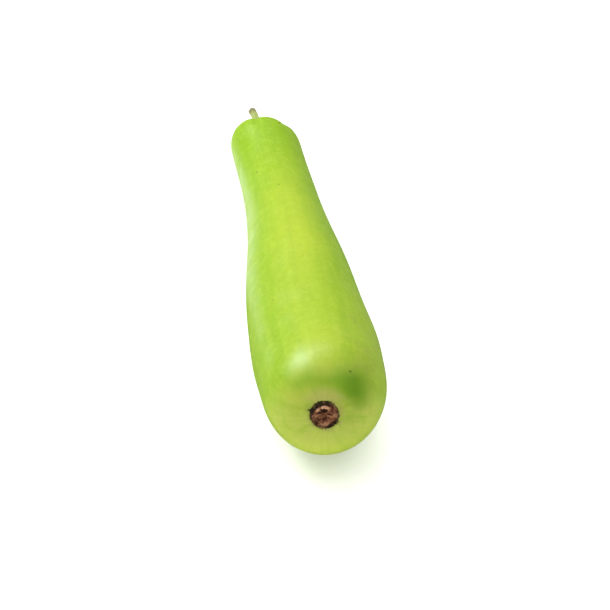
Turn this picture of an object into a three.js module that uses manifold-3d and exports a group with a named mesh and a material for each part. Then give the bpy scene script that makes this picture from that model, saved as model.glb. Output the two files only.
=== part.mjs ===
import * as THREE from "three";
import { mergeVertices } from "three/addons/utils/BufferGeometryUtils.js";
import Module from "manifold-3d";

// A bottle gourd lying on its side, in millimetres, with +Z up.
// The broad blossom end points along -Y and the stem along +Y. It rests on z = 0.
// A place on the fruit is given by s, the distance along its length from the blossom tip.

// Fruit: radius at each station along the length
const FRUIT_LENGTH = 400;
const STATIONS = [0, 45, 85, 135, 185, 235, 285, 330, 365, 400];
const RADII = [42.6, 42.7, 44.1, 41.5, 37.9, 32.6, 29.3, 28, 27.9, 28.1];

// Both ends close as superellipse caps: a high power gives a blunt end.
const BLOSSOM_CAP = { length: 58, power: 2.72 };
const STEM_CAP = { length: 24.4, power: 2.45 };

// Spine: its height over the ground at the belly and at the neck, and how the ends turn
const BELLY = { at: 85, height: 43.4 };
const NECK = { at: 330, height: 26.6 };
const ARCH_HEIGHT = 3.2;
const SWAY = { aside: 2.07, phase: 3 };
const TURN_SPAN = 95;
const BLOSSOM_TURN = { aside: -9.4, lift: 15.1 };
const STEM_TURN = { aside: -1.9, lift: 10.7 };

// One side of the blossom end is fuller, and the stem end is cut off a little askew.
const CHEEK = { fullness: 0.021, at: 38, span: 24 };
const STEM_END_SKEW = -0.3;

// Blossom scar: a shallow recess in the skin with a corky disc in it
const SCAR_RECESS = { radius: 9.3, depth: 2.5 };
const SCAR_GAP = 0.35;
const SCAR_RING = { radius: 5.6, width: 1.5, height: 1.7, upperExcess: 0.25 };
const SCAR_RIM = { depth: 0.8, notches: 11, unevenness: 3, notchDepth: 0.45 };
const SCAR_HOLLOW = { above: 2.6, width: 1.9, depth: 1.2 };

// Stem end: a dimple, the socket at its bottom and the creases that run into it
const DIMPLE = { depth: 7, radius: 10 };
const SOCKET = { radius: 6.5, depth: 9 };
const CREASES = [
  { angle: 0.95, depth: 0.08, width: 0.2 },
  { angle: 1.85, depth: 0.07, width: 0.18 },
  { angle: 3.68, depth: 0.12, width: 0.19 },
  { angle: 4.65, depth: 0.1, width: 0.2 },
  { angle: 5.65, depth: 0.11, width: 0.2 },
];
const CREASE_LENGTH = 21;

// Stem: a curved, faintly ridged stalk, widest at its root
const STEM_GAP = 0.35;
const STEM_TIP = new THREE.Vector3(-5.2, 234, 33);
const STEM_STRAIGHT = 12;
const STEM_BOW = { share: 0.45, lift: 1.5 };
const STEM_RADIUS = { root: 5.8, waist: 2.9, tip: 3.1 };
const STEM_FLARE = { rootFrom: 0.08, rootTo: 0.42, tipFrom: 0.75 };
const STEM_RIDGES = { count: 5, height: 0.05, twist: 0.7 };

// Mesh fineness
const SEGMENTS_ROUND = 60;
const CAP_RINGS = 13;
const BODY_STEP = 10;
const STEM_SEGMENTS = 24;
const STEM_RINGS = 26;
const SCAR_SEGMENTS = 44;
const SCAR_RINGS = 9;

const clamp = THREE.MathUtils.clamp;
const bell = (offset, width) => Math.exp(-((offset / width) ** 2));

// Smooth curve through the radii, with slopes taken from the neighbouring stations
function stationSlope(i) {
  const before = Math.max(i - 1, 0);
  const after = Math.min(i + 1, STATIONS.length - 1);
  return (RADII[after] - RADII[before]) / (STATIONS[after] - STATIONS[before]);
}

function bodyRadius(s) {
  let i = 0;
  while (i < STATIONS.length - 2 && s >= STATIONS[i + 1]) {
    i += 1;
  }
  const span = STATIONS[i + 1] - STATIONS[i];
  const t = (s - STATIONS[i]) / span;
  const fromValues = (2 * t ** 3 - 3 * t ** 2 + 1) * RADII[i] + (3 * t ** 2 - 2 * t ** 3) * RADII[i + 1];
  const fromSlopes = (t ** 3 - 2 * t ** 2 + t) * stationSlope(i) + (t ** 3 - t ** 2) * stationSlope(i + 1);
  return fromValues + span * fromSlopes;
}

// Share of the full radius at a distance inside an end, and the distance that gives a share
function capShare(distance, cap) {
  const inward = clamp(distance / cap.length, 0, 1);
  return (1 - (1 - inward) ** cap.power) ** (1 / cap.power);
}

function capDistance(share, cap) {
  return cap.length * (1 - (1 - share ** cap.power) ** (1 / cap.power));
}

function skinRadius(s) {
  return bodyRadius(s) * capShare(s, BLOSSOM_CAP) * capShare(FRUIT_LENGTH - s, STEM_CAP);
}

// How far a place lies into the turn at either end, from 0 in the body to 1 at the tip
const nearBlossom = (s) => clamp(1 - s / TURN_SPAN, 0, 1) ** 2;
const nearStem = (s) => clamp(1 - (FRUIT_LENGTH - s) / TURN_SPAN, 0, 1) ** 2;

function spinePoint(s) {
  const run = (s - BELLY.at) / (NECK.at - BELLY.at);
  const arch = ARCH_HEIGHT * Math.sin(Math.PI * clamp(run, 0, 1)) ** 2;
  const sway = SWAY.aside * Math.sin((2 * Math.PI * s) / FRUIT_LENGTH + SWAY.phase);
  return new THREE.Vector3(
    sway + BLOSSOM_TURN.aside * nearBlossom(s) + STEM_TURN.aside * nearStem(s),
    s - FRUIT_LENGTH / 2,
    BELLY.height
      + run * (NECK.height - BELLY.height)
      + arch
      + BLOSSOM_TURN.lift * nearBlossom(s)
      + STEM_TURN.lift * nearStem(s),
  );
}

// Directions at a place on the spine: along it, to its side and up
function spineFrame(s) {
  const step = 0.01;
  const behind = spinePoint(Math.max(s - step, 0));
  const ahead = spinePoint(Math.min(s + step, FRUIT_LENGTH));
  const along = ahead.sub(behind).normalize();
  const side = new THREE.Vector3().crossVectors(along, new THREE.Vector3(0, 0, 1)).normalize();
  const up = new THREE.Vector3().crossVectors(side, along);
  return { centre: spinePoint(s), along, side, up };
}

function around(frame, radius, angle, forward) {
  return frame.centre
    .clone()
    .addScaledVector(frame.side, radius * Math.cos(angle))
    .addScaledVector(frame.up, radius * Math.sin(angle))
    .addScaledVector(frame.along, forward);
}

// Creases start in the dimple, are deepest over the shoulder and fade down the neck.
function creaseShare(s, angle, radius) {
  const length = bell(FRUIT_LENGTH - s, CREASE_LENGTH) * (1 - bell(radius, DIMPLE.radius));
  let share = 0;
  for (const crease of CREASES) {
    const offset = Math.atan2(Math.sin(angle - crease.angle), Math.cos(angle - crease.angle));
    share += crease.depth * bell(offset, crease.width);
  }
  return share * length;
}

function skinPoint(s, angle) {
  const plain = skinRadius(s);
  const cheek = CHEEK.fullness * bell(s - CHEEK.at, CHEEK.span) * Math.cos(angle);
  const radius = plain * (1 + cheek) * (1 - creaseShare(s, angle, plain));
  const skew = STEM_END_SKEW * nearStem(s) * radius * Math.cos(angle);
  const dimple = s > FRUIT_LENGTH / 2 ? DIMPLE.depth * bell(radius, DIMPLE.radius) : 0;
  return around(spineFrame(s), radius, angle, skew - dimple);
}

// Closed mesh through rings of equal count, with a single point at each end
function loft(startPoint, rings, endPoint) {
  const count = rings[0].length;
  const points = [startPoint, ...rings.flat(), endPoint];
  const last = points.length - 1;
  const indices = [];
  for (let k = 0; k < count; k += 1) {
    const next = (k + 1) % count;
    indices.push(0, 1 + k, 1 + next);
    for (let ring = 0; ring < rings.length - 1; ring += 1) {
      const here = 1 + ring * count;
      const beyond = here + count;
      indices.push(here + k, beyond + k, beyond + next);
      indices.push(here + k, beyond + next, here + next);
    }
    const lastRing = 1 + (rings.length - 1) * count;
    indices.push(last, lastRing + next, lastRing + k);
  }
  const geometry = new THREE.BufferGeometry();
  geometry.setAttribute("position", new THREE.Float32BufferAttribute(points.flatMap((p) => p.toArray()), 3));
  geometry.setIndex(indices);
  return geometry;
}

function ringOf(count, pointAt) {
  return Array.from({ length: count }, (_, k) => pointAt((2 * Math.PI * k) / count));
}

// Where the rings of the skin lie: close together over the caps, evenly spaced between
function skinStations() {
  const recessShare = SCAR_RECESS.radius / bodyRadius(0);
  const socketShare = SOCKET.radius / bodyRadius(FRUIT_LENGTH);
  const stations = [];
  for (let i = 0; i <= CAP_RINGS; i += 1) {
    const start = Math.asin(recessShare);
    const share = Math.sin(THREE.MathUtils.lerp(start, Math.PI / 2, i / CAP_RINGS));
    stations.push(capDistance(share, BLOSSOM_CAP));
  }
  const bodyEnd = FRUIT_LENGTH - STEM_CAP.length;
  const bodyRings = Math.round((bodyEnd - BLOSSOM_CAP.length) / BODY_STEP);
  for (let i = 1; i < bodyRings; i += 1) {
    stations.push(THREE.MathUtils.lerp(BLOSSOM_CAP.length, bodyEnd, i / bodyRings));
  }
  for (let i = 0; i <= CAP_RINGS; i += 1) {
    const end = Math.asin(socketShare);
    const share = Math.sin(THREE.MathUtils.lerp(Math.PI / 2, end, i / CAP_RINGS));
    stations.push(FRUIT_LENGTH - capDistance(share, STEM_CAP));
  }
  return stations;
}

function fruitLoft() {
  const blossomEnd = spineFrame(0);
  const stemEnd = spineFrame(FRUIT_LENGTH);
  const { radius, depth } = SCAR_RECESS;
  const recessFloor = ringOf(SEGMENTS_ROUND, (a) => around(blossomEnd, radius, a, depth));
  const skin = skinStations().map((s) => ringOf(SEGMENTS_ROUND, (a) => skinPoint(s, a)));
  const socketFloor = ringOf(SEGMENTS_ROUND, (a) => around(stemEnd, SOCKET.radius, a, -SOCKET.depth));
  const startPoint = around(blossomEnd, 0, 0, depth);
  const endPoint = around(stemEnd, 0, 0, -SOCKET.depth);
  return loft(startPoint, [recessFloor, ...skin, socketFloor], endPoint);
}

// The corky disc in the recess: a raised ring round a hollow, with a notched rim
function scarFace(frame, radius, angle) {
  const ring = SCAR_RING.height * bell(radius - SCAR_RING.radius, SCAR_RING.width);
  const raised = ring * (1 + SCAR_RING.upperExcess * Math.sin(angle));
  const aside = radius * Math.cos(angle);
  const above = radius * Math.sin(angle) - SCAR_HOLLOW.above;
  const hollow = SCAR_HOLLOW.depth * bell(Math.hypot(aside, above), SCAR_HOLLOW.width);
  return around(frame, radius, angle, SCAR_RIM.depth - raised + hollow);
}

function scarLoft() {
  const frame = spineFrame(0);
  const back = SCAR_RECESS.depth - SCAR_GAP;
  const rimRadius = (angle) => {
    const wave = Math.cos(SCAR_RIM.notches * angle + Math.sin(SCAR_RIM.unevenness * angle));
    return SCAR_RECESS.radius - SCAR_GAP - SCAR_RIM.notchDepth * (0.5 + 0.5 * wave);
  };
  const face = [];
  for (let i = 1; i <= SCAR_RINGS; i += 1) {
    face.push(ringOf(SCAR_SEGMENTS, (a) => scarFace(frame, (rimRadius(a) * i) / SCAR_RINGS, a)));
  }
  const backRing = ringOf(SCAR_SEGMENTS, (a) => around(frame, rimRadius(a), a, back));
  return loft(scarFace(frame, 0, 0), [...face, backRing], around(frame, 0, 0, back));
}

// The stem's radius along its length, from 0 in the socket to 1 at the cut end
function stemRadius(t) {
  const narrowed = THREE.MathUtils.smoothstep(t, STEM_FLARE.rootFrom, STEM_FLARE.rootTo);
  const widened = THREE.MathUtils.smoothstep(t, STEM_FLARE.tipFrom, 1);
  const root = (STEM_RADIUS.root - STEM_RADIUS.waist) * (1 - narrowed);
  const tip = (STEM_RADIUS.tip - STEM_RADIUS.waist) * widened;
  return STEM_RADIUS.waist + root + tip;
}

function stemLoft() {
  const end = spineFrame(FRUIT_LENGTH);
  const foot = around(end, 0, 0, STEM_GAP - SOCKET.depth);
  const straightPart = around(end, 0, 0, STEM_STRAIGHT);
  const beforeTip = STEM_TIP.clone().lerp(straightPart, STEM_BOW.share);
  beforeTip.z += STEM_BOW.lift;
  const line = new THREE.CubicBezierCurve3(foot, straightPart, beforeTip, STEM_TIP);
  const rings = [];
  for (let i = 0; i <= STEM_RINGS; i += 1) {
    const t = i / STEM_RINGS;
    const along = line.getTangentAt(t);
    const side = new THREE.Vector3().crossVectors(along, end.up).normalize();
    const up = new THREE.Vector3().crossVectors(side, along);
    const frame = { centre: line.getPointAt(t), along, side, up };
    rings.push(ringOf(STEM_SEGMENTS, (a) => {
      const ridge = STEM_RIDGES.height * Math.cos(STEM_RIDGES.count * (a + STEM_RIDGES.twist * t));
      return around(frame, stemRadius(t) * (1 + ridge), a, 0);
    }));
  }
  return loft(foot, rings, STEM_TIP);
}

// Boolean cut of the resting flats
const wasm = await Module();
wasm.setup();

function toSolid(geometry) {
  const bare = geometry.clone();
  bare.deleteAttribute("normal");
  bare.deleteAttribute("uv");
  const merged = mergeVertices(bare);
  const vertProperties = new Float32Array(merged.attributes.position.array);
  const triVerts = new Uint32Array(merged.index.array);
  return new wasm.Manifold(new wasm.Mesh({ numProp: 3, vertProperties, triVerts }));
}

function toGeometry(solid) {
  const mesh = solid.getMesh();
  const geometry = new THREE.BufferGeometry();
  geometry.setAttribute("position", new THREE.BufferAttribute(mesh.vertProperties, 3));
  geometry.setIndex(new THREE.BufferAttribute(mesh.triVerts, 1));
  return geometry;
}

// The fruit's weight presses it flat where belly and neck meet the ground.
function cutAtGround(geometry) {
  const size = 2 * FRUIT_LENGTH;
  const ground = new THREE.BoxGeometry(size, size, size);
  ground.translate(0, 0, -size / 2);
  return toGeometry(toSolid(geometry).subtract(toSolid(ground)));
}

function piece(name, geometry, color, roughness) {
  geometry.computeVertexNormals();
  const mesh = new THREE.Mesh(geometry, new THREE.MeshStandardMaterial({ color, roughness, metalness: 0 }));
  mesh.name = name;
  return mesh;
}

const gourd = new THREE.Group();
gourd.add(piece("fruit", cutAtGround(fruitLoft()), 0xa8d13a, 0.35));
gourd.add(piece("stem", stemLoft(), 0xb5bf78, 0.7));
gourd.add(piece("blossom_scar", scarLoft(), 0x8a5a42, 0.85));

// The origin is the middle of the gourd's own box, on the ground.
const box = new THREE.Box3().setFromObject(gourd);
const middle = box.getCenter(new THREE.Vector3());
gourd.position.set(-middle.x, -middle.y, -box.min.z);

export default gourd;
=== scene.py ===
# %% [markdown]
# # A bottle gourd with its skin, stem and blossom scar
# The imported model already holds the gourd's true size and form. This lesson keeps that frame
# fixed and lays finer pieces over it: a smooth skin with creases and faint lumps, a fibrous
# stem, a corky scar and the dry collar round it. Each piece is rebuilt from the same few
# measures as the model, so nothing has to be fitted by eye.

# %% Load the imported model
import math
import random

import bpy
import numpy as np
from mathutils import Matrix, Vector, noise


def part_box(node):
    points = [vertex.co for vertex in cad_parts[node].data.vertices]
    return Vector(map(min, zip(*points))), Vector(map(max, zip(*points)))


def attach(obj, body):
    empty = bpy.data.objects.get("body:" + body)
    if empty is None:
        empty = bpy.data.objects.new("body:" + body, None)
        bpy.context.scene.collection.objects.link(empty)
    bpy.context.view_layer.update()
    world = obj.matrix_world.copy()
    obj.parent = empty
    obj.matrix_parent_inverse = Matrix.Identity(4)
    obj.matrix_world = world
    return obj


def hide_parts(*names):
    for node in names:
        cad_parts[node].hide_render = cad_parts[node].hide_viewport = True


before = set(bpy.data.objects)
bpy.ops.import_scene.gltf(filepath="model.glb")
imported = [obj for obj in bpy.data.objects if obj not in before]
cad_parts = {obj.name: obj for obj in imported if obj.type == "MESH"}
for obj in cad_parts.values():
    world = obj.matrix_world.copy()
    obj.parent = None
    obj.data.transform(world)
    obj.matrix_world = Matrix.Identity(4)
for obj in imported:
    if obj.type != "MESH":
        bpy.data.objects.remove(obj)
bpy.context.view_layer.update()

print("nodes in the model:", sorted(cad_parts))

# %% [markdown]
# ## The shape in numbers
# The fruit is a body of revolution that bends a little: a radius that changes along a spine.
# The measures are in millimetres, and a place on the fruit is given by s, its distance along
# the spine from the blossom tip, and by an angle round the spine. A smooth curve through ten
# radii is easier to read and to change than a sculpted mesh.

# %% Measures of the fruit
MM = 0.001
FRUIT_LENGTH = 400.0
STATIONS = np.array([0, 45, 85, 135, 185, 235, 285, 330, 365, 400], float)
RADII = np.array([42.6, 42.7, 44.1, 41.5, 37.9, 32.6, 29.3, 28, 27.9, 28.1])
BLOSSOM_CAP = {"length": 58.0, "power": 2.72}
STEM_CAP = {"length": 24.4, "power": 2.45}
BELLY = {"at": 85.0, "height": 43.4}
NECK = {"at": 330.0, "height": 26.6}
ARCH_HEIGHT = 3.2
SWAY = {"aside": 2.07, "phase": 3.0}
TURN_SPAN = 95.0
BLOSSOM_TURN = {"aside": -9.4, "lift": 15.1}
STEM_TURN = {"aside": -1.9, "lift": 10.7}
CHEEK = {"fullness": 0.021, "at": 38.0, "span": 24.0}
STEM_END_SKEW = -0.3
SCAR_RECESS = {"radius": 9.3, "depth": 2.5}
DIMPLE = {"depth": 7.0, "radius": 10.0}
SOCKET = {"radius": 6.5, "depth": 9.0}
CREASE_LENGTH = 21.0
CREASES = [(0.95, 0.08, 0.2), (1.85, 0.07, 0.18), (3.68, 0.12, 0.19), (4.65, 0.1, 0.2), (5.65, 0.11, 0.2)]


def bell(offset, width):
    """A smooth hump: 1 in the middle, fading to 0 over a few widths."""
    return np.exp(-((offset / width) ** 2))


def smooth_step(x, low, high):
    """0 below low, 1 above high and an even slope between."""
    t = np.clip((x - low) / (high - low), 0, 1)
    return t * t * (3 - 2 * t)


def turn_between(angle, middle):
    """The shortest turn from one angle to another, between minus and plus half a turn."""
    return np.arctan2(np.sin(angle - middle), np.cos(angle - middle))


def body_radius(s):
    """A cubic curve through the radii, with slopes from the neighbouring stations."""
    slopes = np.gradient(RADII, STATIONS)
    slopes[1:-1] = (RADII[2:] - RADII[:-2]) / (STATIONS[2:] - STATIONS[:-2])
    i = np.clip(np.searchsorted(STATIONS, s, side="right") - 1, 0, len(STATIONS) - 2)
    span = STATIONS[i + 1] - STATIONS[i]
    t = (s - STATIONS[i]) / span
    values = (2 * t**3 - 3 * t**2 + 1) * RADII[i] + (3 * t**2 - 2 * t**3) * RADII[i + 1]
    turns = (t**3 - 2 * t**2 + t) * slopes[i] + (t**3 - t**2) * slopes[i + 1]
    return values + span * turns


def cap_share(distance, cap):
    """Share of the full radius at a distance inside an end."""
    inward = np.clip(distance / cap["length"], 0, 1)
    return (1 - (1 - inward) ** cap["power"]) ** (1 / cap["power"])


def cap_distance(share, cap):
    """The distance inside an end where the cap has reached a share of the full radius."""
    return cap["length"] * (1 - (1 - share ** cap["power"]) ** (1 / cap["power"]))


def skin_radius(s):
    return body_radius(s) * cap_share(s, BLOSSOM_CAP) * cap_share(FRUIT_LENGTH - s, STEM_CAP)


def spine(s):
    """Points of the spine, for an array of places along it."""
    run = (s - BELLY["at"]) / (NECK["at"] - BELLY["at"])
    near_blossom = np.clip(1 - s / TURN_SPAN, 0, 1) ** 2
    near_stem = np.clip(1 - (FRUIT_LENGTH - s) / TURN_SPAN, 0, 1) ** 2
    sway = SWAY["aside"] * np.sin(2 * np.pi * s / FRUIT_LENGTH + SWAY["phase"])
    x = sway + BLOSSOM_TURN["aside"] * near_blossom + STEM_TURN["aside"] * near_stem
    height = BELLY["height"] + run * (NECK["height"] - BELLY["height"])
    arch = ARCH_HEIGHT * np.sin(np.pi * np.clip(run, 0, 1)) ** 2
    z = height + arch + BLOSSOM_TURN["lift"] * near_blossom + STEM_TURN["lift"] * near_stem
    return np.stack([x, s - FRUIT_LENGTH / 2, z], axis=-1)


def unit(vectors):
    return vectors / np.linalg.norm(vectors, axis=-1, keepdims=True)


def spine_frame(s):
    """Spine points with the directions along, aside and up at each."""
    step = 0.01
    s = np.atleast_1d(np.asarray(s, float))
    along = unit(spine(np.minimum(s + step, FRUIT_LENGTH)) - spine(np.maximum(s - step, 0)))
    side = unit(np.cross(along, [0.0, 0.0, 1.0]))
    up = np.cross(side, along)
    return spine(s), along, side, up


print("length", FRUIT_LENGTH, "mm, widest", round(2 * float(body_radius(BELLY["at"])), 1), "mm across")

# %% [markdown]
# ## Building a skin from rings
# A lathe gives a skin of revolution in one step, but this fruit bends and has creases that run
# lengthwise. So the skin is a grid of rings, worked out for all points at once, with a point at
# each end to close it. The rings lie closer together over the two ends, where the skin turns.

# %% A closed mesh from a grid of rings


def new_piece(name, points, faces):
    """A smooth-shaded object from points in millimetres."""
    mesh = bpy.data.meshes.new(name)
    mesh.from_pydata((points * MM).tolist(), [], faces)
    mesh.polygons.foreach_set("use_smooth", np.ones(len(faces), bool))
    mesh.update()
    piece = bpy.data.objects.new(name, mesh)
    bpy.context.scene.collection.objects.link(piece)
    return piece


def mesh_from_rings(name, first, rings, last):
    """A closed piece through rings (count, points round, 3), with a point at each end."""
    rows, count = rings.shape[:2]
    points = np.concatenate([first[None], rings.reshape(-1, 3), last[None]])
    k = np.arange(count)
    after = (k + 1) % count
    grid = 1 + np.arange(rows - 1)[:, None] * count
    quads = np.stack([grid + k, grid + count + k, grid + count + after, grid + after], axis=-1)
    start = np.stack([np.zeros(count, int), 1 + k, 1 + after], axis=-1)
    base = 1 + (rows - 1) * count
    end = np.stack([np.full(count, len(points) - 1), base + after, base + k], axis=-1)
    faces = quads.reshape(-1, 4).tolist() + start.tolist() + end.tolist()
    print(name, "has", len(points), "points and", len(faces), "faces")
    return new_piece(name, points, faces)


# %% Values that the materials read at each point


def paint(piece, name, values):
    """Store one number or one vector for each point."""
    values = np.asarray(values, float)
    kind = "FLOAT" if values.ndim == 1 else "FLOAT_VECTOR"
    layer = piece.data.attributes.new(name=name, type=kind, domain="POINT")
    layer.data.foreach_set("value" if values.ndim == 1 else "vector", values.ravel())


def paint_rings(piece, name, first, rings, last):
    """Store one number for the first point, the points of the rings and the last point."""
    paint(piece, name, np.concatenate([[first], *[np.ravel(part) for part in rings], [last]]))


def unrolled(places, turns):
    """Cosine and sine of each point's angle and its place along, with the two end points."""
    place, turn = np.meshgrid(places, turns, indexing="ij")
    rings = np.stack([np.cos(turn), np.sin(turn), place], axis=-1).reshape(-1, 3)
    return np.concatenate([[[0, 0, places[0]]], rings, [[0, 0, places[-1]]]])


# %% Noise for natural unevenness


def wander(points, seed):
    """Even noise between about -1 and 1 at an array of points."""
    flat = points.reshape(-1, 3) + seed
    values = [noise.noise(Vector(p)) for p in flat.tolist()]
    return np.array(values).reshape(points.shape[:-1])


def noise_round(angle, along, waves, seed):
    """Noise on a tube: so many waves round it, and a place along it."""
    place = np.broadcast_arrays(np.cos(angle) * waves, np.sin(angle) * waves, along)
    return wander(np.stack(place, axis=-1), seed)


def uneven(kind, along, angle, seed):
    """Noise of one kind: its height, the length of its waves along and their number round."""
    return kind["height"] * noise_round(angle, along / kind["length"], kind["waves"], seed)


# %% [markdown]
# ## The skin
# A real gourd isn't turned on a lathe. Its skin has long faint ribs that follow the veins under
# it, soft lumps a few centimetres across, a puckered lip where the flower fell off and creases
# that gather into the dimple round the stem. A sculpting brush could make them, but small
# shifts of the rings by a formula can be read and changed. Apart from the creases, which the
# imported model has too, they keep its outline to a fraction of a millimetre.

# %% Where the skin's rings lie
POINTS_ROUND = 240
CAP_ROWS = 64
BODY_ROWS = 150

recess_turn = math.asin(SCAR_RECESS["radius"] / RADII[0])
socket_turn = math.asin(SOCKET["radius"] / RADII[-1])
blossom_rows = cap_distance(np.sin(np.linspace(recess_turn, np.pi / 2, CAP_ROWS)), BLOSSOM_CAP)
stem_rows = FRUIT_LENGTH - cap_distance(np.sin(np.linspace(np.pi / 2, socket_turn, CAP_ROWS)), STEM_CAP)
body_rows = np.linspace(blossom_rows[-1], stem_rows[0], BODY_ROWS)[1:-1]
skin_rows = np.concatenate([blossom_rows, body_rows, stem_rows])
turns = np.linspace(0, 2 * np.pi, POINTS_ROUND, endpoint=False)
S, A = np.meshgrid(skin_rows, turns, indexing="ij")
print(len(skin_rows), "rings of", POINTS_ROUND, "points")

# %% Relief of the skin, in millimetres
LUMPS = {"height": 0.45, "length": 60.0, "waves": 0.9}
RIBS = {"height": 0.14, "length": 260.0, "waves": 3.1}
LIP = {"height": 0.35, "radius": 10.8, "width": 1.7}
PUCKER = {"height": 0.3, "length": 40.0, "waves": 5.5, "radius": 9.0, "reach": 9.0}
OPEN_SKIN_RADII = (9.0, 20.0)


def crease_share(s, angle, radius):
    """Share of the radius taken away by the creases that run into the dimple."""
    length = bell(FRUIT_LENGTH - s, CREASE_LENGTH) * (1 - bell(radius, DIMPLE["radius"]))
    share = np.zeros_like(s)
    for middle, depth, width in CREASES:
        share += depth * bell(turn_between(angle, middle), width)
    return share * length


def skin_relief(s, angle, radius):
    """Lumps and ribs that swell the radius, and the lip round the scar, raised along the spine."""
    swell = uneven(LUMPS, s, angle, seed=11) + uneven(RIBS, s, angle, seed=23)
    lip = LIP["height"] * bell(radius - LIP["radius"], LIP["width"])
    pucker = uneven(PUCKER, s, angle, seed=7) * bell(radius - PUCKER["radius"], PUCKER["reach"])
    return swell * smooth_step(radius, *OPEN_SKIN_RADII), (lip + pucker) * (s < FRUIT_LENGTH / 2)


# %% The skin, laid over the fruit
plain = skin_radius(S)
swell, raised = skin_relief(S, A, plain)
cheek = CHEEK["fullness"] * bell(S - CHEEK["at"], CHEEK["span"]) * np.cos(A)
crease = crease_share(S, A, plain)
radius = plain * (1 + cheek) * (1 - crease) + swell
skew_share = np.clip(1 - (FRUIT_LENGTH - S) / TURN_SPAN, 0, 1) ** 2
dimple = DIMPLE["depth"] * bell(radius, DIMPLE["radius"]) * (S > FRUIT_LENGTH / 2)
forward = STEM_END_SKEW * skew_share * radius * np.cos(A) - dimple - raised
centre, along, side, up = (part[:, None, :] for part in spine_frame(skin_rows))
skin_points = (
    centre
    + (radius * np.cos(A))[..., None] * side
    + (radius * np.sin(A))[..., None] * up
    + forward[..., None] * along
)

fruit_low, fruit_high = (np.array(corner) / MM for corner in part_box("fruit"))
formula_low = skin_points.min(axis=(0, 1))
formula_high = skin_points.max(axis=(0, 1))
shift = (fruit_low + fruit_high - formula_low - formula_high) / 2
shift[2] = 0
print("the model's origin is", (-shift).round(2), "mm from the middle of the spine")
print("lumps and ribs from", swell.min().round(2), "to", swell.max().round(2), "mm")

# %% The ends of the fruit and the finished piece
SOCKET_TAPER = 0.5
tip_centre, tip_along, tip_side, tip_up = (part[0] for part in spine_frame(0))
end_centre, end_along, end_side, end_up = (part[0] for part in spine_frame(FRUIT_LENGTH))
tip_place = (tip_centre + shift, -tip_along, tip_side, tip_up)
end_place = (end_centre + shift, end_along, end_side, end_up)


def disc_point(place, radius, angle, outward):
    """Points on or over an end face: place is its centre and three directions."""
    middle, out, aside, upward = place
    flat = (radius * np.cos(angle))[..., None] * aside + (radius * np.sin(angle))[..., None] * upward
    return middle + flat + np.asarray(outward)[..., None] * out


recess_floor = disc_point(tip_place, SCAR_RECESS["radius"], turns, -SCAR_RECESS["depth"])
socket_floor = disc_point(end_place, SOCKET["radius"] - SOCKET_TAPER, turns, -SOCKET["depth"])
skin_rings = np.concatenate([recess_floor[None], skin_points + shift, socket_floor[None]])
# The fruit is flat where it rests, so no point lies under the ground
skin_rings[..., 2] = np.maximum(skin_rings[..., 2], 0)
skin = mesh_from_rings(
    "gourd_skin",
    tip_place[0] - tip_place[1] * SCAR_RECESS["depth"],
    skin_rings,
    end_place[0] - end_place[1] * SOCKET["depth"],
)
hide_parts("fruit")
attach(skin, "root")

# %% What the skin's material reads
# Millimetres for one unit of the material, along the spine and away from it
SPINE_UNIT = 100.0
FACE_UNIT = 10.0

ring_places = np.concatenate([[0.0], skin_rows, [FRUIT_LENGTH]])
paint(skin, "unrolled", unrolled(ring_places / SPINE_UNIT, turns))
recess_ring = np.full(POINTS_ROUND, SCAR_RECESS["radius"] / FACE_UNIT)
socket_ring = np.full(POINTS_ROUND, SOCKET["radius"] / FACE_UNIT)
paint_rings(skin, "from_axis", 0.0, [recess_ring, plain / FACE_UNIT, socket_ring], 0.0)
no_crease = np.zeros(POINTS_ROUND)
paint_rings(skin, "crease", 0.0, [no_crease, crease / crease.max(), no_crease], 0.0)
print("creases take up to", (100 * crease.max()).round(1), "percent of the radius")

# %% [markdown]
# ## The stem
# The stem is what is left of the stalk that the gourd hung from. It is five-sided with soft
# corners, tough and stringy, and swells where it grips the fruit. A curve with a bevel would
# give a round pipe, so the stem is made of rings too, with ridges, fine grooves and a cut end
# that has dried to a shallow cup.

# %% Measures of the stem
STEM_TIP = np.array([-5.2, 234.0, 33.0])
STEM_STRAIGHT = 12.0
STEM_BOW = {"share": 0.45, "lift": 1.5}
STEM_RADIUS = {"root": 5.8, "waist": 2.9, "tip": 3.1}
STEM_RIDGES = {"count": 5, "height": 0.07, "twist": 0.7}
STEM_NARROWS = (0.08, 0.42)
STEM_FLARES = (0.75, 1.0)
STEM_LUMPS = {"height": 0.05, "length": 0.625, "waves": 3.4}
STEM_FIBRES = {"height": 0.035, "length": 1 / 3, "waves": 9}
CUT_ROUNDING = {"from": 0.985, "share": 0.16}
STEM_POINTS_ROUND = 120
STEM_ROWS = 150
STEM_FOOT = 8.6

stem_start = end_centre + end_along * -STEM_FOOT
stem_straight = end_centre + end_along * STEM_STRAIGHT
stem_before_tip = STEM_TIP + STEM_BOW["share"] * (stem_straight - STEM_TIP) + [0, 0, STEM_BOW["lift"]]


def along_curve(knots, shares):
    """Points evenly spaced along a Bezier curve, and the direction at each."""
    fine = np.linspace(0, 1, 600)[:, None]
    a, b, c, d = knots
    line = (1 - fine) ** 3 * a + 3 * (1 - fine) ** 2 * fine * b + 3 * (1 - fine) * fine**2 * c + fine**3 * d
    walked = np.concatenate([[0], np.cumsum(np.linalg.norm(np.diff(line, axis=0), axis=1))])
    steps = np.gradient(line, axis=0)
    wanted = shares * walked[-1]
    places = np.stack([np.interp(wanted, walked, line[:, i]) for i in range(3)], axis=-1)
    headings = np.stack([np.interp(wanted, walked, steps[:, i]) for i in range(3)], axis=-1)
    return places, unit(headings), walked[-1]


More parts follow.
